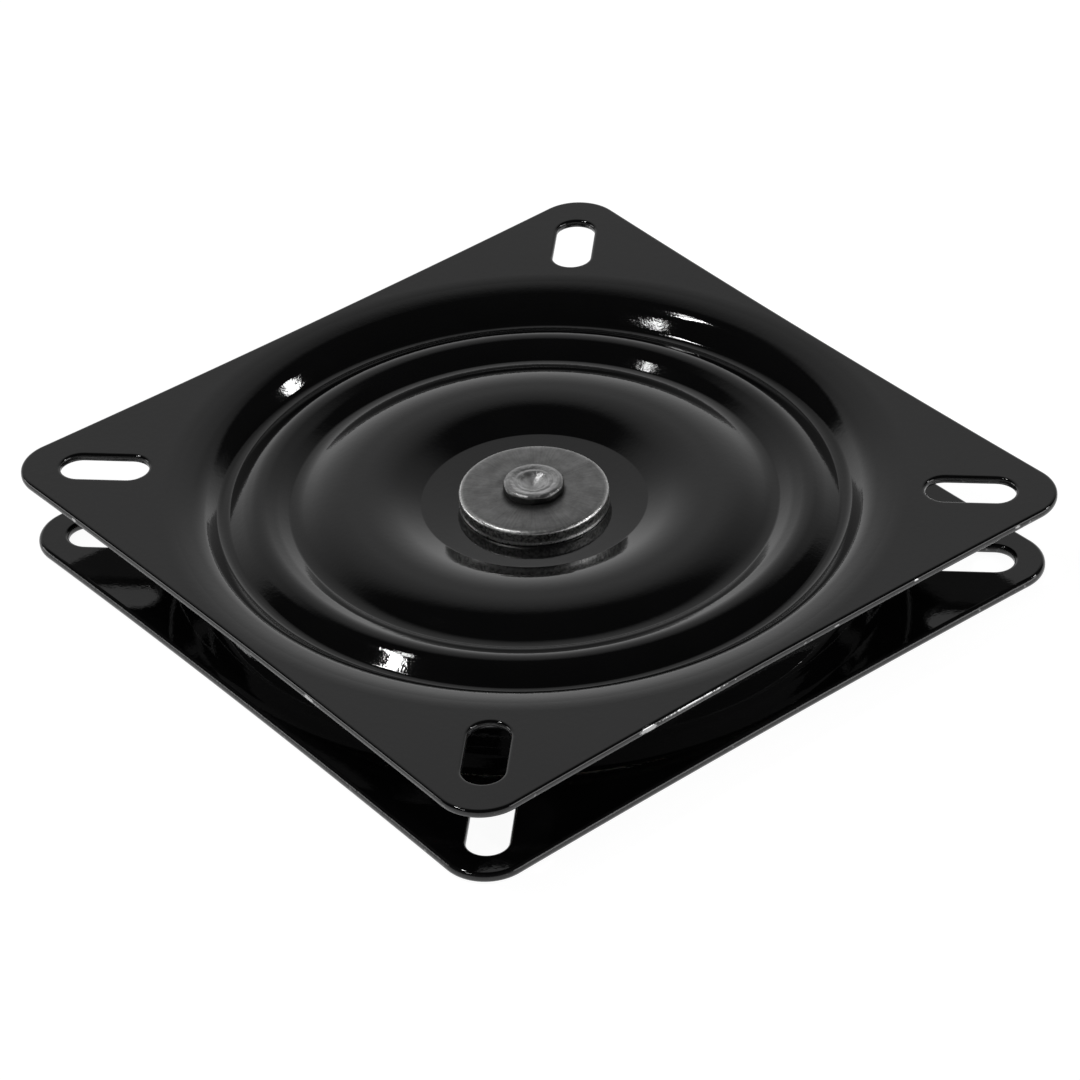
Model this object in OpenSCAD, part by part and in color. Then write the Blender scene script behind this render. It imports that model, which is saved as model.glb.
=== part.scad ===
// Seven inch swivel mount for a boat seat.
// Two pressed steel plates, dished towards each other, turn on a ring of caged
// steel balls and are held together by one peened kingpin through their middle.
// The plates' corners lie on the X and Y axes, and Z is the swivel axis.
// Z = 0 is the underside of the lower plate's rim.

/* [Plates] */
// Width across the flats of the upper plate
upper_w = 177.8; // [174:0.1:190]
// Width across the flats of the lower plate
lower_w = 174.6; // [174:0.1:190]
// Thickness of the sheet
sheet_t = 2.3; // [1.8:0.1:2.5]
// Height over both plates' rims
overall_h = 21.8; // [21.6:0.1:24]
// Radius of the plates' corners
corner_r = 11; // [6:0.5:16]
// How far the pressing has drawn in the middle of each side
draw_in = 0.9; // [0.3:0.1:1]

/* [Slots] */
// Distance from the swivel axis to the middle of a slot
slot_pitch_r = 101.2; // [99:0.1:103]
// Length of a slot over its round ends
slot_l = 21; // [14:0.5:23]
// Width of a slot
slot_w = 9.5; // [7:0.1:11]

/* [Pressed form] */
// Depth of the flat middle below the rim's outer face
floor_depth = 6.2; // [5.8:0.1:6.8]
// Radius of the flat middle
floor_r = 26.5; // [24:0.5:28]
// Radius at which the inner flank of the domed ring meets its top
dome_inner_r = 36.1; // [34:0.1:38]
// Radius at which the outer flank of the domed ring meets its top
dome_outer_r = 47.5; // [45:0.1:48]
// Depth of the domed ring's top
dome_depth = 2.6; // [2.3:0.1:3.6]
// Radius of the valley between the domed ring and the ball track
inner_valley_r = 56.1; // [55.5:0.1:56.6]
// Depth of the inner valley
inner_valley_depth = 5.7; // [5.2:0.1:5.9]
// Radius of the valley outside the ball track
outer_valley_r = 71.9; // [71.4:0.1:72.4]
// Depth of the outer valley
outer_valley_depth = 6; // [5.4:0.1:6.2]
// Depth at which the flanks of the ball track would meet
track_apex_depth = 2.6; // [2.2:0.1:2.9]
// Radius of the top of the recess's steep wall
wall_top_r = 78.3; // [77.6:0.1:79]
// Depth of the top of the steep wall
wall_top_depth = 1.4; // [1.3:0.1:2]
// Radius at which the rim breaks into the recess
rim_break_r = 83.2; // [82.4:0.1:84]

/* [Bearing] */
// Diameter of a ball
ball_d = 10.3; // [8:0.1:10.5]
// Number of balls
ball_count = 24; // [12:1:26]
// Thickness of the ball cage
cage_t = 3.6; // [2.4:0.1:4]

/* [Kingpin and washers] */
// Diameter of the kingpin's shank
pin_d = 11.5; // [10:0.1:12]
// Diameter of the kingpin's peened head
peened_head_d = 14.3; // [14:0.1:17]
// Diameter of the kingpin's formed lower head
lower_head_d = 18; // [15:0.5:22]
// Outer diameter of a washer
washer_d = 34.9; // [30:0.1:38]
// Thickness of a washer
washer_t = 3.4; // [2.5:0.1:3.6]

/* [Hidden] */
$fn = 96;

mid_z = overall_h / 2;

// Bend radii of the pressing, on its outer face, from the middle outwards
floor_bend_r = 1;
dome_inner_bend_r = 25;
dome_outer_bend_r = 23;
valley_entry_bend_r = 7.5;
inner_foot_bend_r = 1.4;
inner_flank_bend_r = 8.5;
track_bend_r = 5.5;
outer_flank_bend_r = 13;
outer_foot_bend_r = 2;
wall_foot_bend_r = 1.2;
wall_top_bend_r = 8.5;
// Share of the shallow cone above the wall that the rim's bend takes
rim_bend_share = 0.62;
// The rim stays flat for this far in from the plate's edge
edge_land = 1.4;
// Largest angle between two points of a bend
bend_step = 5;

running_gap = 0.05;
pin_bore_r = pin_d / 2 + running_gap;
washer_bore_r = pin_d / 2 + 0.15;
washer_edge_r = 0.6;
washer_seat_z = overall_h - floor_depth;

// A pocket closes a little over the ball, so that the ball snaps in
pocket_d = ball_d + 0.4;
cage_wall = 2;
cage_edge_r = 0.5;

// The kingpin's heads stay this far inside the plates' outer faces
head_inset = 0.6;
dimple_r = 3.6;
dimple_depth = 1.9;
head_rim_h = 1.6;
neck_r = 6.4;
lower_head_edge_r = 1.2;

black_coat = "#17171a";
bare_steel = "#8d8d8b";
bright_steel = "#c4c6c8";
nylon = "#e6e1d2";

// The ball track stands on the flat bottoms of the two valleys
inner_valley_half_w = 1;
outer_valley_half_w = 0.55;
inner_foot = [inner_valley_r + inner_valley_half_w, -inner_valley_depth];
outer_foot = [outer_valley_r - outer_valley_half_w, -outer_valley_depth];
track_r = (inner_foot.x + outer_foot.x) / 2;
track_apex = [track_r, -track_apex_depth];
// The track's flanks bulge, and so grow steeper towards their feet
flank_bulge = [0, 0.28];
wall_top = [wall_top_r, -wall_top_depth];
rim_break = [rim_break_r, 0];

// Corner points of the pressing's outer face, from the kingpin's bore to the rim
outer_face = [
    [pin_bore_r, -floor_depth],
    [floor_r, -floor_depth],
    [dome_inner_r, -dome_depth],
    [dome_outer_r, -dome_depth],
    [inner_valley_r - inner_valley_half_w, -inner_valley_depth],
    inner_foot,
    between(inner_foot, track_apex, 0.42) + flank_bulge,
    track_apex,
    between(outer_foot, track_apex, 0.57) + flank_bulge,
    outer_foot,
    [outer_valley_r + outer_valley_half_w, -outer_valley_depth],
    wall_top,
    rim_break
];
outer_bends = [
    0, floor_bend_r, dome_inner_bend_r, dome_outer_bend_r, valley_entry_bend_r,
    inner_foot_bend_r, inner_flank_bend_r, track_bend_r, outer_flank_bend_r,
    outer_foot_bend_r, wall_foot_bend_r, wall_top_bend_r
];

function ball_name(i) = str("ball_", i < 10 ? "0" : "", i);
function unit(v) = v / norm(v);
function between(a, b, share) = a + (b - a) * share;
function angle_of(v) = atan2(v.y, v.x);
function half_corner(a, p, b) = acos(unit(a - p) * unit(b - p)) / 2;
// Turn from one direction to another, the short way round
function short_turn(from, to) = (to - from + 540) % 360 - 180;

// Points of the arc of radius r that rounds the corner p between a and b.
// grow widens the arc about the same centre.
function bend(a, p, b, r, grow = 0) =
    r == 0 ? [p] :
    let (
        half = half_corner(a, p, b),
        centre = p + unit(unit(a - p) + unit(b - p)) * r / sin(half),
        start = angle_of(p + unit(a - p) * r / tan(half) - centre),
        end = angle_of(p + unit(b - p) * r / tan(half) - centre),
        turn = short_turn(start, end),
        steps = ceil(abs(turn) / bend_step)
    )
    [for (i = [0:steps])
        let (q = start + turn * i / steps) centre + (r + grow) * [cos(q), sin(q)]];

// A closed outline with its corners rounded, each by its own radius
function rounded(points, radii) =
    let (n = len(points))
    [for (i = [0:n - 1])
        each bend(points[(i + n - 1) % n], points[i], points[(i + 1) % n], radii[i])];

// A bend is a crest where the face turns down, and a valley where it turns up
function is_crest(a, p, b) = cross(p - a, b - p) < 0;

// How far the rim's bend reaches on each side of its corner, in a plate of width w
function rim_reach(w) = min(
    w / 2 - draw_in - edge_land - rim_break_r,
    rim_bend_share * norm(rim_break - wall_top)
);
// The pressed form ends here in the flat rim
function press_r(w) = rim_break_r + rim_reach(w);
function rim_bend_r(w) = rim_reach(w) * tan(half_corner(wall_top, rim_break, rim_break + [1, 0]));

// The pressing's face at a depth below its outer face, so that the sheet keeps its thickness
function face_at(depth, w) =
    let (
        corners = concat(outer_face, [[press_r(w), 0]]),
        bends = concat(outer_bends, rim_bend_r(w)),
        last = len(corners) - 1
    )
    concat(
        [corners[0] - [0, depth]],
        [for (i = [1:last - 1])
            let (a = corners[i - 1], p = corners[i], b = corners[i + 1])
            each bend(a, p, b, bends[i], is_crest(a, p, b) ? -depth : depth)],
        [corners[last] - [0, depth]]
    );

function reversed(list) = [for (i = [len(list) - 1:-1:0]) list[i]];

module pressed_form(w) {
    rotate_extrude() polygon(concat(face_at(0, w), reversed(face_at(sheet_t, w))));
}

module slot_outline() {
    reach = (slot_l - slot_w) / 2;
    translate([slot_pitch_r, 0]) {
        square([2 * reach, slot_w], center = true);
        for (end = [-reach, reach]) translate([end, 0]) circle(d = slot_w);
    }
}

// Square with round corners, its sides bowed in by the draw of the pressing
module plate_outline(w) {
    straight = w - 2 * corner_r;
    bow_r = (pow(straight / 2, 2) + pow(draw_in, 2)) / (2 * draw_in);
    rotate(45) difference() {
        union() {
            square([w, straight], center = true);
            square([straight, w], center = true);
            for (x = [-1, 1], y = [-1, 1]) {
                translate([x, y] * straight / 2) circle(r = corner_r);
            }
        }
        for (side = [0:90:270]) {
            rotate(side) translate([w / 2 - draw_in + bow_r, 0]) circle(r = bow_r, $fn = 3000);
        }
    }
}

// A plate with its outer face at z = 0, dished towards -Z
module plate(w) {
    translate([0, 0, -sheet_t]) linear_extrude(sheet_t) difference() {
        plate_outline(w);
        circle(r = press_r(w));
        for (corner = [0:90:270]) rotate(corner) slot_outline();
    }
    pressed_form(w);
}

module upper_plate() {
    color(black_coat) translate([0, 0, overall_h]) plate(upper_w);
}

module lower_plate() {
    color(black_coat) mirror([0, 0, 1]) plate(lower_w);
}

module place_ball(i) {
    rotate(360 / ball_count * (i - 0.5)) translate([track_r, 0, mid_z]) children();
}

module ball(i) {
    color(bright_steel) place_ball(i) sphere(d = ball_d);
}

// Ring of rectangular section from radius a to radius b, with its edges rounded
module edged_ring(a, b, thickness, radii) {
    rotate_extrude() {
        polygon(rounded([[a, 0], [b, 0], [b, thickness], [a, thickness]], radii));
    }
}

module ball_cage() {
    half_w = pocket_d / 2 + cage_wall;
    color(nylon) difference() {
        translate([0, 0, mid_z - cage_t / 2]) {
            edged_ring(track_r - half_w, track_r + half_w, cage_t, cage_edge_r * [1, 1, 1, 1]);
        }
        for (i = [1:ball_count]) place_ball(i) sphere(d = pocket_d);
    }
}

// Punched washer, its rolled-over edge upwards
module washer() {
    edged_ring(washer_bore_r, washer_d / 2, washer_t, washer_edge_r * [0, 0, 1, 0]);
}

module upper_washer() {
    color(bare_steel) translate([0, 0, washer_seat_z]) washer();
}

module lower_washer() {
    color(bare_steel) translate([0, 0, floor_depth]) mirror([0, 0, 1]) washer();
}

// One turned piece: its upper head is struck over the washer, with a dimple from the tool
module kingpin() {
    peened_top = overall_h - head_inset;
    head_r = peened_head_d / 2;
    seat_top = washer_seat_z + washer_t;
    seat_bottom = floor_depth - washer_t;
    lower_r = lower_head_d / 2;
    outline = [
        [0, peened_top - dimple_depth],
        [dimple_r, peened_top],
        [head_r, peened_top],
        [head_r, peened_top - head_rim_h],
        [neck_r, seat_top],
        [pin_d / 2, seat_top],
        [pin_d / 2, seat_bottom],
        [lower_r, seat_bottom],
        [lower_r, head_inset],
        [0, head_inset]
    ];
    color(bright_steel) rotate_extrude() {
        polygon(rounded(outline, [0, 0.5, 0.8, 0.5, 0, 0, 0, 0.2, lower_head_edge_r, 0]));
    }
}

upper_plate();
lower_plate();
ball_cage();
upper_washer();
lower_washer();
kingpin();
for (i = [1:ball_count]) {
    ball(i);
}
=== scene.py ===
"""Looks of a boat seat swivel: two gloss black pressed plates on a caged ball ring, riveted through a washer."""

import math
import random

import bmesh
import bpy
import numpy as np
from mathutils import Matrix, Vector
from mathutils.geometry import delaunay_2d_cdt


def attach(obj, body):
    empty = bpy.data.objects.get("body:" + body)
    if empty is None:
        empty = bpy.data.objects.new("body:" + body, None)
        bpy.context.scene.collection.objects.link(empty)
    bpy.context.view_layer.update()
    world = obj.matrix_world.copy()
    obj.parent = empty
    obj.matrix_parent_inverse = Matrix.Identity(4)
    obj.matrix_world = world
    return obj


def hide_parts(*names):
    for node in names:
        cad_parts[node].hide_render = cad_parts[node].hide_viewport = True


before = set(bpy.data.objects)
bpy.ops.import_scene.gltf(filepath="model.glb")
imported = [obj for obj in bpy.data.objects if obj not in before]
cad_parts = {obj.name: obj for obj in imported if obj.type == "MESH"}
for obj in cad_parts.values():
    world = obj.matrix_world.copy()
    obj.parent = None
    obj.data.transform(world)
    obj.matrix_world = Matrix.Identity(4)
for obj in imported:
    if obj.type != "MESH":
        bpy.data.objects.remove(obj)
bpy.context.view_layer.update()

MM = 0.001

# Sizes of the CAD model, in millimetres. WASHER_TOP is the depth of a washer's face below its plate's rim
OVERALL_H = 21.8
SHEET_T = 2.3
UPPER_W, LOWER_W = 177.8, 174.6
CORNER_R, DRAW_IN = 11.0, 0.9
SLOT_PITCH, SLOT_L, SLOT_W = 101.2, 21.0, 9.5
BORE_R = 5.8
WASHER_TOP, WASHER_BORE = 2.8, 5.9
PIN_R, HEAD_INSET = 5.75, 0.6
# The plates are this much narrower here than the solids, so that they stay inside the CAD box
EDGE_SLACK = 0.1
# The riveting has dished the pressing's flat middle, so the washer's seat lies below that middle's rim
SEAT_DEPTH = 6.8
# Corner points (radius, height) and bend radii of the pressing's outer face, out to its wall
FACE = [(BORE_R, -SEAT_DEPTH, 0), (17.4, -SEAT_DEPTH, 4), (26.5, -6.2, 1), (36.1, -2.6, 25), (47.5, -2.6, 23),
        (55.1, -5.7, 7.5), (57.1, -5.7, 1.4), (60.0925, -4.118, 8.5), (64.225, -2.6, 5.5), (67.2888, -3.782, 13),
        (71.35, -6, 2), (73.3, -6, 2.8), (77.9, -1.56, 8.5)]
# Radius at which the wall meets the rim, what stays flat outside the bend between them, and the share of the
# wall that the bend may take
RIM_BREAK_R = 83.8
RIM_FLAT = 1.2
WALL_SHARE = 0.6
# The rim rises a little towards the corners. The mesh is flat there, and the coat's shading has the slope
DISHING, DISHING_FROM = math.radians(1.8), 84
# Fineness of the meshes: points of a ring, of a side, of a corner, of a slot's end and of its side
AROUND, AROUND_TURNED = 240, 160
SIDE_STEPS, CORNER_STEPS = 48, 20
SLOT_END_STEPS, SLOT_SIDE_STEPS = 24, 8
BEND_STEP = math.radians(2.5)
FLANK_STEP = 1.3


def unit(v):
    return v / np.linalg.norm(v)


def rotation(turn):
    return np.array([[math.cos(turn), -math.sin(turn)], [math.sin(turn), math.cos(turn)]])


def bend(a, p, b, r, grow):
    """Points of the arc that rounds the corner p between a and b, widened by grow about its centre."""
    u, v = unit(a - p), unit(b - p)
    half = math.acos(float(u @ v)) / 2
    centre = p + unit(u + v) * r / math.sin(half)
    first, last = (p + w * r / math.tan(half) - centre for w in (u, v))
    start, end = (math.atan2(w[1], w[0]) for w in (first, last))
    turn = (end - start + 3 * math.pi) % (2 * math.pi) - math.pi
    steps = max(3, math.ceil(abs(turn) / BEND_STEP))
    return [centre + (r + grow) * np.array([math.cos(start + turn * i / steps), math.sin(start + turn * i / steps)])
            for i in range(steps + 1)]


def pressed_face(depth, w):
    """The pressing's face at a depth below its outer face, from the bore to the flat rim of a plate of width w."""
    wall = math.hypot(RIM_BREAK_R - FACE[-1][0], FACE[-1][1])
    reach = min(w / 2 - DRAW_IN - RIM_FLAT - RIM_BREAK_R, WALL_SHARE * wall)
    lean = math.asin(-FACE[-1][1] / wall)
    face = FACE + [(RIM_BREAK_R, 0, reach / math.tan(lean / 2)), (RIM_BREAK_R + reach, 0, 0)]
    corners = [np.array(c[:2], float) for c in face]
    line = [corners[0] - (0, depth)]
    for i in range(1, len(face) - 1):
        a, p, b = corners[i - 1:i + 2]
        crest = (p - a)[0] * (b - p)[1] - (p - a)[1] * (b - p)[0] < 0
        line += bend(a, p, b, face[i][2], -depth if crest else depth)
    line.append(corners[-1] - (0, depth))
    return line


def even(line, step):
    """The line with its long stretches split, so that shading stays true along a flank."""
    out = [line[0]]
    for a, b in zip(line, line[1:]):
        n = max(1, math.ceil(np.linalg.norm(b - a) / step))
        out += [a + (b - a) * k / n for k in range(1, n + 1)]
    return out


def plate_edge(w):
    """The plate's outline as points and outward normals, its corners on the axes."""
    straight = w / 2 - CORNER_R
    bow_r = (straight ** 2 + DRAW_IN ** 2) / (2 * DRAW_IN)
    lean = math.asin(straight / bow_r)
    points, normals = [], []
    for side in range(4):
        rot = rotation(math.radians(45 + 90 * side))
        here = []
        for i in range(SIDE_STEPS + 1):
            q = lean * (2 * i / SIDE_STEPS - 1)
            here.append(((w / 2 - DRAW_IN + bow_r - bow_r * math.cos(q), bow_r * math.sin(q)),
                         (math.cos(q), -math.sin(q))))
        for i in range(1, CORNER_STEPS):
            q = math.pi / 2 * i / CORNER_STEPS
            here.append(((straight + CORNER_R * math.cos(q), straight + CORNER_R * math.sin(q)),
                         (math.cos(q), math.sin(q))))
        points += [rot @ np.array(p) for p, _ in here]
        normals += [rot @ np.array(n) for _, n in here]
    return np.array(points), np.array(normals)


def slot_edge(quarter):
    """A slot's outline as points and normals towards the metal."""
    reach = (SLOT_L - SLOT_W) / 2
    points, normals = [], []
    for sign in (1, -1):
        for i in range(SLOT_END_STEPS + 1):
            q = math.pi * (i / SLOT_END_STEPS - 0.5)
            n = np.array([math.cos(q), math.sin(q)]) * sign
            points.append(n * SLOT_W / 2 + (reach * sign, 0))
            normals.append(n)
        side = [np.array([reach * sign * (1 - 2 * i / SLOT_SIDE_STEPS), SLOT_W / 2 * sign])
                for i in range(1, SLOT_SIDE_STEPS)]
        points += side
        normals += [np.array([0.0, sign])] * len(side)
    rot = rotation(quarter * math.pi / 2)
    return (np.array(points) + (SLOT_PITCH, 0)) @ rot.T, np.array(normals) @ rot.T


# Section of a sheared edge, from the outer face to the inner: (distance back from the edge, depth, wear)
SHEARED = [(0.95, 0, 0), (0.76, 0, 0), (0.56, 0.03, 0), (0.37, 0.1, 0), (0.2, 0.23, 0), (0.08, 0.41, 0.02),
           (0.02, 0.6, 0.2), (0, 0.8, 0.9), (0, 1.2, 1), (0.05, 1.48, 0.8), (0.16, 1.74, 0.5), (0.33, 1.97, 0.2),
           (0.54, 2.14, 0), (0.76, 2.25, 0), (0.96, 2.3, 0), (1, 2.3, 0)]


class Builder:
    """Collects faces and vertices, in millimetres, each vertex with a value from 0 to 1 for its wear, which on the
    kingpin's head and the washers' edges also places painted shade and painted highlights.
    """

    def __init__(self):
        self.co, self.wear, self.faces = [], [], []

    def add(self, point, wear=0.0):
        self.co.append(point)
        self.wear.append(wear)
        return len(self.co) - 1

    def bridge(self, a, b):
        """Faces between two loops of as many vertices."""
        for i in range(len(a)):
            j = (i + 1) % len(a)
            self.faces.append((a[i], a[j], b[j], b[i]))

    def sheet(self, outer, holes):
        """Flat faces between an outer loop and holes, all of them loops of vertices."""
        loops = [outer] + holes
        flat = [v for loop in loops for v in loop]
        edges, start = [], 0
        for loop in loops:
            edges += [(start + i, start + (i + 1) % len(loop)) for i in range(len(loop))]
            start += len(loop)
        xy = [Vector(self.co[v][:2]) for v in flat]
        points, _, triangles, origins = delaunay_2d_cdt(xy, edges, [], 0, 1e-6, True)[:4]
        origin = [o[0] for o in origins]
        shapes = [np.array([self.co[v][:2] for v in loop]) for loop in loops]
        for tri in triangles:
            centre = sum((points[v] for v in tri), Vector((0, 0))) / 3
            if inside(centre, shapes[0]) and not any(inside(centre, s) for s in shapes[1:]):
                self.faces.append(tuple(flat[origin[v]] for v in tri))

    def finish(self, name, flip=False, lift=0.0):
        """The object, in metres, turned upside down first if flip is set, and then lifted."""
        co = np.array(self.co, float)
        if flip:
            co[:, 2] *= -1
        co[:, 2] += lift
        mesh = bpy.data.meshes.new(name)
        mesh.from_pydata((co * MM).tolist(), [], self.faces)
        bm = bmesh.new()
        bm.from_mesh(mesh)
        bmesh.ops.recalc_face_normals(bm, faces=bm.faces)
        bm.to_mesh(mesh)
        bm.free()
        mesh.shade_smooth()
        wear = mesh.attributes.new("wear", "FLOAT", "POINT")
        wear.data.foreach_set("value", np.array(self.wear, np.float32))
        made = bpy.data.objects.new(name, mesh)
        bpy.context.scene.collection.objects.link(made)
        return made


def inside(point, polygon):
    """Whether a line from the point crosses the polygon an odd number of times."""
    x, y = point[0], point[1]
    x0, y0 = polygon[:, 0], polygon[:, 1]
    x1, y1 = np.roll(x0, -1), np.roll(y0, -1)
    crossing = (y0 > y) != (y1 > y)
    with np.errstate(divide="ignore", invalid="ignore"):
        at = (x1 - x0) * (y - y0) / (y1 - y0) + x0
    return bool(np.count_nonzero(crossing & (x < at)) % 2)


def ring(builder, r, z):
    return [builder.add((r * math.cos(2 * math.pi * i / AROUND), r * math.sin(2 * math.pi * i / AROUND), z))
            for i in range(AROUND)]


def sheared_edge(builder, points, normals, towards):
    """First and last loop of a sheared edge. The metal lies along the normals where towards is 1, and against
    them where it is -1."""
    loops = []
    for back, depth, wear in SHEARED:
        loops.append([builder.add((p[0] + n[0] * back * towards, p[1] + n[1] * back * towards, -depth), wear)
                      for p, n in zip(points, normals)])
    for a, b in zip(loops, loops[1:]):
        builder.bridge(a, b)
    return loops[0], loops[-1]


def pressed_plate(name, w, flip, lift):
    """A pressed plate with its outer face at z = 0, dished towards -Z, then flipped and lifted into place."""
    b = Builder()
    rims, bores = [], []
    for depth in (0.0, SHEET_T):
        rings = [ring(b, r, z) for r, z in even(pressed_face(depth, w), FLANK_STEP)]
        for inner, outer in zip(rings, rings[1:]):
            b.bridge(inner, outer)
        rims.append(rings[-1])
        bores.append(rings[0])
    b.bridge(*bores)
    outer_top, outer_bottom = sheared_edge(b, *plate_edge(w - EDGE_SLACK), -1)
    slots = [sheared_edge(b, *slot_edge(q), 1) for q in range(4)]
    b.sheet(outer_top, [rims[0]] + [s[0] for s in slots])
    b.sheet(outer_bottom, [rims[1]] + [s[1] for s in slots])
    return b.finish(name, flip, lift)


def lathe(name, section, jitter, seed):
    """A closed turned shape from (radius, height, wear) points, with one vertex for a point at radius 0. The third
    value is wear, and on the kingpin's head and the washers' edges also painted light. Seven random waves round it,
    each up to jitter mm high, unsettle the parts where that value is high."""
    rng = random.Random(seed)
    phases = [(rng.uniform(0, 2 * math.pi), rng.randint(2, 9), rng.uniform(0.3, 1)) for _ in range(7)]
    b = Builder()
    loops = []
    for r, z, wear in section:
        if r == 0:
            loops.append([b.add((0, 0, z), wear)])
            continue
        loop = []
        for i in range(AROUND_TURNED):
            q = 2 * math.pi * i / AROUND_TURNED
            wave = sum(s * math.sin(n * q + ph + z) for ph, n, s in phases) * jitter * wear
            loop.append(b.add(((r + wave) * math.cos(q), (r + wave) * math.sin(q), z), wear))
        loops.append(loop)
    for a, c in zip(loops, loops[1:]):
        if len(a) == 1 or len(c) == 1:
            tip, rim = (a[0], c) if len(a) == 1 else (c[0], a)
            b.faces += [(tip, rim[i], rim[(i + 1) % len(rim)]) for i in range(len(rim))]
        else:
            b.bridge(a, c)
    if len(loops[0]) > 1 and len(loops[-1]) > 1:
        b.bridge(loops[-1], loops[0])
    return b.finish(name)


# Materials

def feed(tree, value, socket):
    """Sets a socket to a number, or links an output to it."""
    if isinstance(value, (int, float)):
        socket.default_value = value
    else:
        tree.links.new(value, socket)


def maths(tree, operation, a, b):
    made = tree.nodes.new("ShaderNodeMath")
    made.operation = operation
    feed(tree, a, made.inputs[0])
    feed(tree, b, made.inputs[1])
    return made.outputs["Value"]


class Shader:
    """A Principled material with helpers that add its nodes."""

    def __init__(self, name):
        self.material = bpy.data.materials.new(name)
        self.material.use_nodes = True
        self.tree = self.material.node_tree
        self.bsdf = self.tree.nodes["Principled BSDF"]
        self.coords = self.tree.nodes.new("ShaderNodeTexCoord")

    def node(self, kind, **inputs):
        made = self.tree.nodes.new(kind)
        for key, value in inputs.items():
            made.inputs[key].default_value = value
        return made

    def link(self, out, into):
        self.tree.links.new(out, into)

    def noise(self, scale, detail=3.0, rough=0.5, stretch=None):
        made = self.node("ShaderNodeTexNoise", Scale=scale, Detail=detail, Roughness=rough)
        place = self.coords.outputs["Object"]
        if stretch:
            mapping = self.node("ShaderNodeMapping", Scale=stretch)
            self.link(place, mapping.inputs["Vector"])
            place = mapping.outputs["Vector"]
        self.link(place, made.inputs["Vector"])
        return made.outputs["Fac"]

    def across(self):
        """The place in X and Y."""
        split = self.tree.nodes.new("ShaderNodeSeparateXYZ")
        self.link(self.coords.outputs["Object"], split.inputs["Vector"])
        return split.outputs["X"], split.outputs["Y"]

    def radius(self):
        """The distance from the swivel axis."""
        x, y = self.across()
        return self.maths("POWER", self.maths("ADD", self.maths("MULTIPLY", x, x), self.maths("MULTIPLY", y, y)), 0.5)

    def polar_noise(self, around, outwards, detail, rough):
        """Noise over the angle about the swivel axis and the radius, each with its own scale."""
        x, y = self.across()
        angle = self.maths("ARCTAN2", y, x)
        radius = self.radius()
        joined = self.tree.nodes.new("ShaderNodeCombineXYZ")
        self.link(self.maths("MULTIPLY", angle, around), joined.inputs["X"])
        self.link(self.maths("MULTIPLY", radius, outwards), joined.inputs["Y"])
        made = self.node("ShaderNodeTexNoise", Scale=1.0, Detail=detail, Roughness=rough)
        self.link(joined.outputs["Vector"], made.inputs["Vector"])
        return made.outputs["Fac"]

    def spread(self, value, low, high, to_low, to_high):
        """The value moved from the range low to high into the range to_low to to_high, and held within it."""
        made = self.tree.nodes.new("ShaderNodeMapRange")
        for key, number in zip(("From Min", "From Max", "To Min", "To Max"), (low, high, to_low, to_high)):
            made.inputs[key].default_value = number
        self.link(value, made.inputs["Value"])
        return made.outputs["Result"]

    def maths(self, operation, a, b):
        return maths(self.tree, operation, a, b)

    def mix(self, factor, a, b):
        """The colour a where the factor is 0, and b where it is 1."""
        made = self.tree.nodes.new("ShaderNodeMix")
        made.data_type = "RGBA"
        self.link(factor, made.inputs["Factor"])
        a_in, b_in = [s for s in made.inputs if s.type == "RGBA"]
        for socket, value in ((a_in, a), (b_in, b)):
            if isinstance(value, tuple):
                socket.default_value = (*value, 1)
            else:
                self.link(value, socket)
        return [s for s in made.outputs if s.type == "RGBA"][0]

    def spot(self, at, turn, half):
        """The distance from a point at, 1 on the surface of an ellipsoid of half sizes that is turned about Z."""
        mapping = self.node("ShaderNodeMapping", Location=at, Rotation=(0, 0, turn), Scale=half)
        mapping.vector_type = "TEXTURE"
        self.link(self.coords.outputs["Object"], mapping.inputs["Vector"])
        made = self.tree.nodes.new("ShaderNodeVectorMath")
        made.operation = "LENGTH"
        self.link(mapping.outputs["Vector"], made.inputs[0])
        return made.outputs["Value"]

    def attribute(self, name):
        made = self.tree.nodes.new("ShaderNodeAttribute")
        made.attribute_name = name
        return made.outputs["Fac"]

    def bump(self, layers):
        """Bumps one on another, each (height, strength, distance in metres)."""
        normal = None
        for height, strength, distance in layers:
            made = self.node("ShaderNodeBump", Strength=strength, Distance=distance)
            self.link(height, made.inputs["Height"])
            if normal is not None:
                self.link(normal, made.inputs["Normal"])
            normal = made.outputs["Normal"]
        self.link(normal, self.bsdf.inputs["Normal"])

    def paint(self, colour, roughness, metallic):
        for name, value in (("Base Color", colour), ("Roughness", roughness), ("Metallic", metallic)):
            feed(self.tree, value, self.bsdf.inputs[name])


# Places on the upper plate's edge where the coat is scraped off, in mm: (distance along the side from its
# # middle, depth below the rim, half length, half height). The long strip at -27 on the right side is partly a scrape
# # and partly a painted highlight: bare metal laid where that edge shows a highlight. The keys are the angles from
# +X,
# # in degrees, at which the two front sides run: 45 for the right one and -45 for the left one
SCRAPES_AND_PAINTED_HIGHLIGHT = {45: [(-40, 0.8, 2.6, 0.75), (-27, 0.5, 13, 0.25), (39, 0.5, 0.7, 0.22), (70, 0.8, 0.8, 0.35),
                (15, 1.1, 0.8, 0.25)],
           -45: [(30, 1, 2, 0.7), (-60, 0.9, 1, 0.4)]}
# How far a spot's middle lies inside the side, and how far it reaches in and out from there
SPOT_INSET, SPOT_REACH = 0.1, 1.2


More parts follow.
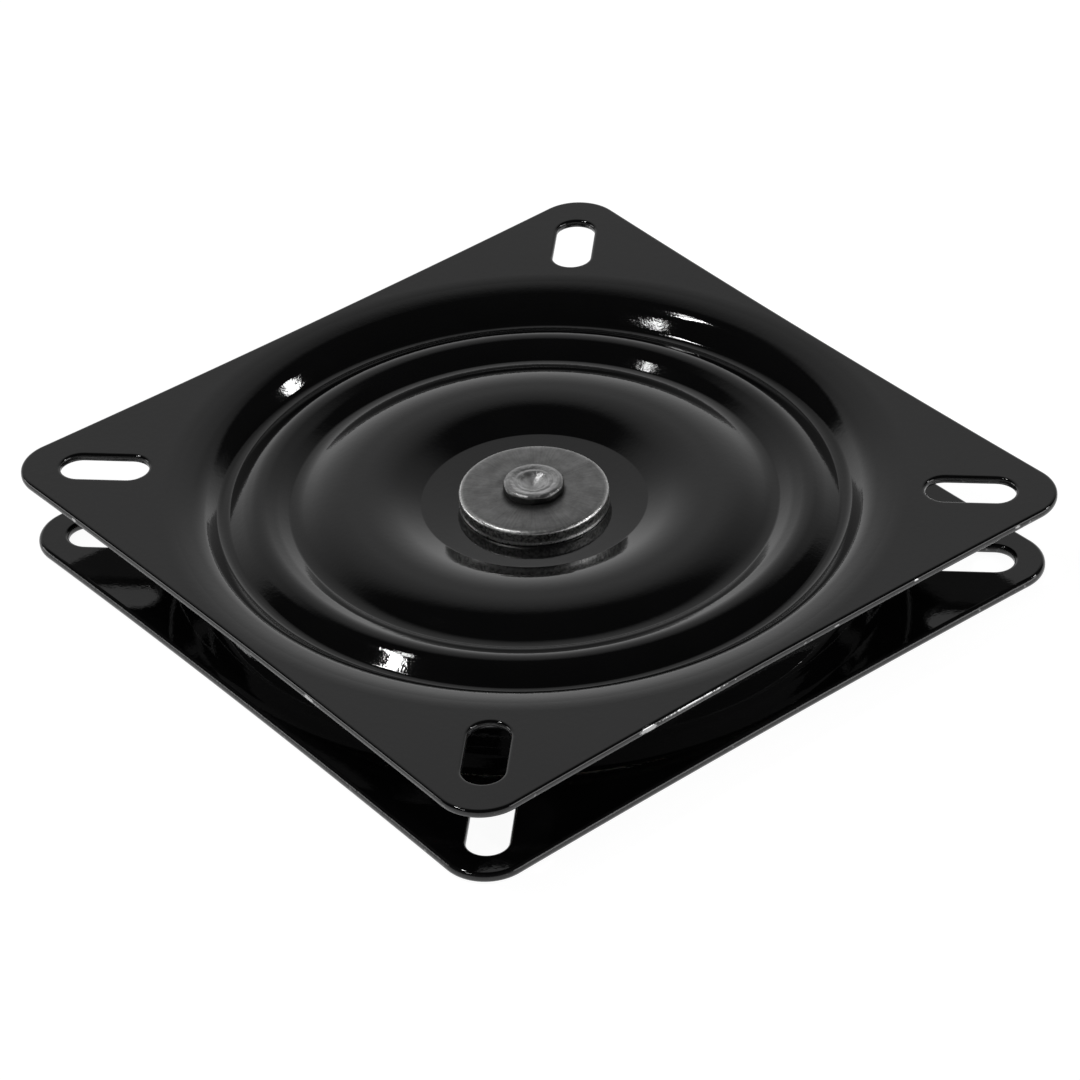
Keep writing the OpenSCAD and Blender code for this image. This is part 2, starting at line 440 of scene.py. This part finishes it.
def scrape_and_highlight_spots():
    """Centre, turn and half sizes in metres of every scraped spot, and of the bare strip that paints a highlight."""
    for side, places in SCRAPES_AND_PAINTED_HIGHLIGHT.items():
        turn = math.radians(side)
        for along, below, half_l, half_h in places:
            bulge = DRAW_IN * (1 - (along / (UPPER_W / 2)) ** 2)
            out = UPPER_W / 2 - DRAW_IN + bulge - SPOT_INSET
            x = along * math.cos(turn) + out * math.sin(turn)
            y = along * math.sin(turn) - out * math.cos(turn)
            yield (x * MM, y * MM, (OVERALL_H - below) * MM), turn, (half_l * MM, SPOT_REACH * MM, half_h * MM)


def black_coat():
    s = Shader("black_coat")
    wear = s.attribute("wear")
    peel = s.noise(700, 2)
    grain = s.noise(2000, 2)
    patches = s.noise(60, 3)
    coat = s.mix(s.spread(patches, 0.3, 0.7, 0, 1), (0.0030, 0.0030, 0.0032), (0.0042, 0.0042, 0.0044))
    nicks = s.spread(s.noise(420, 4, 0.6), 0.62, 0.7, 0, 1)
    bare_and_highlight = s.maths("MULTIPLY", nicks, s.spread(wear, 0.5, 1, 0, 0.7))
    ragged = s.spread(s.noise(900, 4, 0.65), 0.3, 0.7, -0.45, 0.45)
    # Scraped spots show bare metal, and so does the long strip on the right front edge, which is partly a painted
    # highlight
    for at, turn, half in scrape_and_highlight_spots():
        scrape_and_highlight = s.spread(s.maths("ADD", s.spot(at, turn, half), ragged), 0.85, 1.1, 1, 0)
        bare_and_highlight = s.maths("MAXIMUM", bare_and_highlight, scrape_and_highlight)
    s.paint(s.mix(bare_and_highlight, s.mix(wear, coat, (0.02, 0.02, 0.021)), (0.42, 0.42, 0.42)),
            s.maths("ADD", s.spread(patches, 0.3, 0.7, 0.03, 0.055), s.maths("MULTIPLY", wear, 0.25)),
            bare_and_highlight)
    s.bsdf.inputs["IOR"].default_value = 1.5
    beyond = s.maths("MAXIMUM", s.maths("SUBTRACT", s.radius(), DISHING_FROM * MM), 0)
    dishing = s.maths("MULTIPLY", beyond, math.tan(DISHING))
    s.bump([(dishing, 1, 1), (peel, 0.06, 0.0002), (grain, 0.08, 0.0001),
            (s.maths("MULTIPLY", s.noise(900, 4, 0.7, (1, 1, 0.25)), wear), 0.5, 0.0002)])
    return s.material


def washer_steel():
    s = Shader("washer_steel")
    wear = s.attribute("wear")
    mottle = s.noise(260, 5, 0.62)
    fine = s.noise(1500, 4, 0.6)
    scratches = s.polar_noise(30, 90, 4, 0.65)
    tone = s.maths("ADD", s.spread(mottle, 0.3, 0.7, 0, 0.5),
                   s.maths("ADD", s.spread(fine, 0.3, 0.7, 0, 0.2), s.spread(scratches, 0.35, 0.65, 0, 0.3)))
    # On the rounded edges, where wear is middling, the light colour is partly burnish and partly a painted highlight
    burnish_and_painted_highlight = s.maths("MULTIPLY", s.spread(wear, 0.05, 0.25, 0, 1), s.spread(wear, 0.45, 0.75, 1, 0))
    body = s.mix(wear, s.mix(tone, (0.135, 0.135, 0.134), (0.29, 0.29, 0.288)),
                 s.mix(s.spread(fine, 0.4, 0.6, 0, 1), (0.16, 0.16, 0.158), (0.6, 0.6, 0.59)))
    s.paint(s.mix(s.maths("MULTIPLY", burnish_and_painted_highlight, s.spread(fine, 0.35, 0.6, 0.6, 1)), body, (0.8, 0.8, 0.79)),
            s.maths("SUBTRACT", s.spread(mottle, 0.3, 0.7, 0.5, 0.34), s.maths("MULTIPLY", burnish_and_painted_highlight, 0.12)), 1.0)
    grit = s.maths("MULTIPLY", s.noise(1100, 5, 0.7, (1, 1, 0.5)), s.spread(wear, 0, 1, 0.15, 1))
    s.bump([(s.maths("ADD", s.maths("MULTIPLY", fine, 0.5), scratches), 0.2, 0.0001), (grit, 0.7, 0.0003)])
    return s.material


def pin_steel():
    s = Shader("pin_steel")
    wear = s.attribute("wear")
    rings = s.polar_noise(0.6, 2600, 3, 0.5)
    dents = s.noise(520, 3, 0.55)
    tone = s.maths("ADD", s.spread(rings, 0.35, 0.65, 0, 0.5), s.spread(dents, 0.3, 0.7, 0, 0.5))
    # The dimple is painted a lighter steel to brighten its highlight, a painted highlight; by radius, the same
    # lighter colour also falls on the middle of the lower head
    dimple_painted_highlight = s.spread(s.radius(), 2.2 * MM, 3.1 * MM, 1, 0)
    rougher = s.maths("MULTIPLY", s.maths("ADD", wear, dimple_painted_highlight), 0.12)
    # Where the wear attribute is 1, on the head's flank under its rim and its underside, the near-black colour is
    # painted shade
    s.paint(s.mix(dimple_painted_highlight, s.mix(wear, s.mix(tone, (0.3, 0.3, 0.3), (0.56, 0.56, 0.56)), (0.05, 0.05, 0.049)),
                  (0.6, 0.6, 0.6)),
            s.maths("ADD", s.spread(dents, 0.3, 0.7, 0.36, 0.28), rougher), 1.0)
    s.bump([(rings, 0.35, 0.00015), (dents, 0.5, 0.0006)])
    return s.material


def nylon():
    s = Shader("cage_nylon")
    s.paint(s.mix(s.noise(120, 4), (0.74, 0.71, 0.61), (0.83, 0.80, 0.71)),
            s.spread(s.noise(300), 0.3, 0.7, 0.38, 0.5), 0.0)
    s.bsdf.inputs["Subsurface Weight"].default_value = 0.15
    s.bsdf.inputs["Subsurface Scale"].default_value = 0.002
    s.bump([(s.noise(1800), 0.15, 0.0001)])
    return s.material


def polished_steel():
    s = Shader("ball_steel")
    s.paint(s.mix(s.noise(400, 4), (0.58, 0.58, 0.59), (0.66, 0.66, 0.67)),
            s.spread(s.noise(900, 3), 0.3, 0.7, 0.05, 0.14), 1.0)
    s.bump([(s.noise(3000, 2), 0.04, 0.00005)])
    return s.material


# The floor's colour, and the share and strength of the glow that the camera and mirrors see in it
FLOOR_COLOUR, FLOOR_GLOW_SHARE, FLOOR_GLOW = 0.86, 0.74, 1.28


def floor_material():
    """Pale floor that reads near white to the camera and to mirrors, and still keeps the shadow."""
    material = bpy.data.materials.new("pale_floor")
    material.use_nodes = True
    tree = material.node_tree
    tree.nodes.clear()
    out = tree.nodes.new("ShaderNodeOutputMaterial")
    mix = tree.nodes.new("ShaderNodeMixShader")
    diffuse = tree.nodes.new("ShaderNodeBsdfDiffuse")
    glow = tree.nodes.new("ShaderNodeEmission")
    rays = tree.nodes.new("ShaderNodeLightPath")
    seen = rays.outputs["Is Camera Ray"]
    for name in ("Is Glossy Ray", "Is Transmission Ray"):
        seen = maths(tree, "MAXIMUM", seen, rays.outputs[name])
    diffuse.inputs["Color"].default_value = (FLOOR_COLOUR, FLOOR_COLOUR, FLOOR_COLOUR, 1)
    glow.inputs["Color"].default_value = (1, 1, 1, 1)
    glow.inputs["Strength"].default_value = FLOOR_GLOW
    tree.links.new(maths(tree, "MULTIPLY", seen, FLOOR_GLOW_SHARE), mix.inputs["Fac"])
    tree.links.new(diffuse.outputs["BSDF"], mix.inputs[1])
    tree.links.new(glow.outputs["Emission"], mix.inputs[2])
    tree.links.new(mix.outputs["Shader"], out.inputs["Surface"])
    return material


def dress(piece, material):
    piece.data.materials.clear()
    piece.data.materials.append(material)


# The pieces

coat = black_coat()
dull_steel = washer_steel()
peened_steel = pin_steel()
ball_steel = polished_steel()
cage_nylon = nylon()

for name, w, flip, lift, body in (("upper_plate", UPPER_W, False, OVERALL_H, "swivel"),
                                  ("lower_plate", LOWER_W, True, 0.0, "base")):
    plate = pressed_plate(name + "_pressing", w, flip, lift)
    dress(plate, coat)
    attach(plate, body)
    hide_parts(name)

# Section of a washer above its seat: (radius, height, wear). The middling wear on its rounded edges also places a
# # painted highlight
WASHER = [(WASHER_BORE, 0.15, 0), (WASHER_BORE, 3.88, 0), (6.1, 4, 0), (9.5, 4, 0), (13, 4, 0), (14.4, 3.99, 0),
          (15.6, 3.96, 0.02), (16.4, 3.9, 0.05), (16.9, 3.8, 0.1), (17.25, 3.65, 0.25), (17.47, 3.42, 0.4),
          (17.57, 3.15, 0.7), (17.55, 2.8, 1), (17.47, 2.3, 1), (17.43, 1.8, 1), (17.42, 1.3, 0.9), (17.47, 0.9, 0.6),
          (17.56, 0.65, 0.4), (17.65, 0.42, 0.3), (17.69, 0.22, 0.3), (17.62, 0.06, 0.3), (17.3, 0, 0), (13, 0, 0),
          (6.1, 0, 0)]
seat = OVERALL_H - SEAT_DEPTH
for name, section in (("upper_washer", [(r, seat + z, wear) for r, z, wear in WASHER]),
                      ("lower_washer", [(r, SEAT_DEPTH - z, wear) for r, z, wear in WASHER])):
    piece = lathe(name + "_punched", section, jitter=0.02, seed=3)
    dress(piece, dull_steel)
    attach(piece, "base")
    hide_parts(name)

# Section of the kingpin from the dimple of its peened head to its formed lower head: (radius, height, wear). A third
# # value of 1, on the head's flank under its rim and on its underside, is painted shade, near black in pin_steel
head, foot, washer_top = OVERALL_H - HEAD_INSET, HEAD_INSET, OVERALL_H - WASHER_TOP
KINGPIN = [(0, head - 1.86, 0), (0.5, head - 1.8, 0), (1.1, head - 1.55, 0), (1.8, head - 1.2, 0),
           (2.5, head - 0.82, 0), (3.05, head - 0.5, 0), (3.45, head - 0.3, 0.05), (3.9, head - 0.19, 0.05),
           (4.25, head - 0.2, 0.05),
           (4.5, head - 0.26, 0.1), (4.8, head - 0.2, 0.05), (5.3, head - 0.06, 0.1), (5.8, head, 0.15),
           (6.3, head - 0.06, 0.2), (6.7, head - 0.2, 0.2), (6.95, head - 0.42, 0.5), (7.06, head - 0.7, 1),
           (7.08, head - 1.1, 1), (7.07, head - 1.6, 1), (7.05, washer_top + 0.02, 1), (PIN_R, washer_top + 0.02, 0),
           (PIN_R, WASHER_TOP, 0), (8.85, WASHER_TOP, 0), (8.97, 2.6, 0), (8.98, 1.9, 0), (8.85, 1.25, 0.05),
           (8.45, 0.8, 0), (7.8, 0.62, 0), (4, foot, 0), (0, foot, 0)]
piece = lathe("kingpin_turned", KINGPIN, jitter=0.05, seed=11)
dress(piece, peened_steel)
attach(piece, "base")
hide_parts("kingpin")

# The balls and their cage keep their solids
for name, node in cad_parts.items():
    if name == "ball_cage":
        dress(node, cage_nylon)
    elif name.startswith("ball_"):
        dress(node, ball_steel)

# Floor, world and lamps

FLOOR_SIZE, FLOOR_DROP = 12, 0.0003
bpy.ops.mesh.primitive_plane_add(size=FLOOR_SIZE, location=(0, 0, -FLOOR_DROP))
floor = bpy.context.object
floor.name = "floor"
dress(floor, floor_material())

# Brightness of the world. The sweep stands behind the object like an upright panel at PANEL_AZIMUTH, and all
# azimuths here are from +Y towards +X. Its brightness is SWEEP's, by height on the panel in degrees, times
# SIDES's, by azimuth. The ceiling's is added, and low down HORIZON's, by elevation, takes over where it is more
CEILING = 0.026
PANEL_AZIMUTH = math.radians(-7)
SWEEP = ((0, 0.94), (8, 0.89), (12, 0.86), (16, 0.79), (22, 0.68), (28, 0.575), (34, 0.475), (40, 0.41), (46, 0.36),
         (49, 0.33), (52, 0.285), (55, 0.215), (58, 0.135), (60, 0.08), (61.5, 0.04), (63, 0.012), (65, 0), (180, 0))
SIDES = ((-180, 0), (-62, 0), (-60, 0.12), (-58, 0.6), (-56, 0.88), (-52, 0.95), (-41, 0.94), (-31, 0.99), (-21, 1),
         (0, 1), (9, 0.92), (14, 0.84), (19, 0.76), (24, 0.72), (29, 0.7), (34, 0.66), (38, 0.54), (40.5, 0.25),
         (42.5, 0.05), (44.5, 0), (180, 0))
HORIZON = ((0, 1), (4, 0.92), (8, 0.7), (12, 0.38), (16, 0.12), (19, CEILING), (180, CEILING))


def studio_world():
    """A pale sweep round the horizon that climbs higher behind the object, under a dark ceiling."""
    world = bpy.data.worlds.new("studio")
    bpy.context.scene.world = world
    world.use_nodes = True
    tree = world.node_tree
    back = tree.nodes["Background"]
    coords = tree.nodes.new("ShaderNodeTexCoord")

    def dot(direction):
        made = tree.nodes.new("ShaderNodeVectorMath")
        made.operation = "DOT_PRODUCT"
        made.inputs[1].default_value = direction
        tree.links.new(coords.outputs["Generated"], made.inputs[0])
        return made.outputs["Value"]

    def ramp(value, stops):
        """Straight lines between stops, over values from 0 to 1."""
        made = tree.nodes.new("ShaderNodeFloatCurve")
        curve = made.mapping.curves[0]
        while len(curve.points) < len(stops):
            curve.points.new(0.5, 0.5)
        for point, (x, y) in zip(curve.points, stops):
            point.location = (x, y)
            point.handle_type = "VECTOR"
        made.mapping.update()
        tree.links.new(value, made.inputs["Value"])
        return made.outputs["Value"]

    def by_height(angle, stops):
        return ramp(maths(tree, "DIVIDE", angle, math.pi), [(e / 180, v) for e, v in stops])

    up = dot((0, 0, 1))
    # Height on the panel, as the elevation seen straight ahead
    on_panel = maths(tree, "ARCTAN2", up, dot((math.sin(PANEL_AZIMUTH), math.cos(PANEL_AZIMUTH), 0)))
    elevation = maths(tree, "ARCSINE", up, 0.0)
    azimuth = maths(tree, "ARCTAN2", dot((1, 0, 0)), dot((0, 1, 0)))
    turn = maths(tree, "MULTIPLY_ADD", azimuth, 0.5 / math.pi)
    turn.node.inputs[2].default_value = 0.5
    sweep = by_height(on_panel, SWEEP)
    side = ramp(turn, [(0.5 + a / 360, v) for a, v in SIDES])
    low = by_height(elevation, HORIZON)
    bright = maths(tree, "ADD", maths(tree, "MULTIPLY", sweep, side), CEILING)
    tree.links.new(maths(tree, "MAXIMUM", bright, low), back.inputs["Strength"])
    back.inputs["Color"].default_value = (1, 1, 1, 1)


studio_world()


# Lamps at LAMP_AWAY metres: (azimuth and elevation in degrees, width and height in metres, radiance of the face)
LAMP_AWAY = 2.4
LAMPS = {"key": (-87, 64.5, 0.4, 0.09, 70), "spill": (-75.5, 67.5, 0.24, 0.07, 24),
         "patch": (-133, 52.5, 0.36, 0.11, 26), "window": (74, 36.2, 0.19, 0.23, 34),
         "right": (98, 16, 1.5, 0.8, 3), "left": (-83, 14, 1, 0.7, 3)}


def soft_box(name, azimuth, elevation, width, height, radiance):
    """A rectangular lamp that faces the object."""
    a, e = math.radians(azimuth), math.radians(elevation)
    away = Vector((math.sin(a) * math.cos(e), math.cos(a) * math.cos(e), math.sin(e)))
    data = bpy.data.lights.new(name, "AREA")
    data.shape = "RECTANGLE"
    data.size, data.size_y = width, height
    data.energy = radiance * math.pi * width * height
    lamp = bpy.data.objects.new(name, data)
    lamp.location = away * LAMP_AWAY
    lamp.rotation_mode = "QUATERNION"
    lamp.rotation_quaternion = away.to_track_quat("Z", "Y")
    bpy.context.scene.collection.objects.link(lamp)


for name, lamp in LAMPS.items():
    soft_box(name, *lamp)

# Camera, as fitted to the outlines of the plates and the slots. Lens and sensor are in mm

CAMERA_AT = (0.10776, -0.83490, 0.62096)
CAMERA_ROT = (0.891279, 0.450339, 0.039603, 0.035333)
SENSOR_W, LENS = 36, 148.2
CLIP_NEAR, CLIP_FAR = 0.05, 20
camera_data = bpy.data.cameras.new("camera")
camera = bpy.data.objects.new("camera", camera_data)
bpy.context.scene.collection.objects.link(camera)
bpy.context.scene.camera = camera
camera_data.sensor_width = SENSOR_W
camera_data.lens = LENS
camera_data.clip_start, camera_data.clip_end = CLIP_NEAR, CLIP_FAR
camera.location = CAMERA_AT
camera.rotation_mode = "QUATERNION"
camera.rotation_quaternion = CAMERA_ROT

bpy.context.scene.view_settings.view_transform = "Standard"
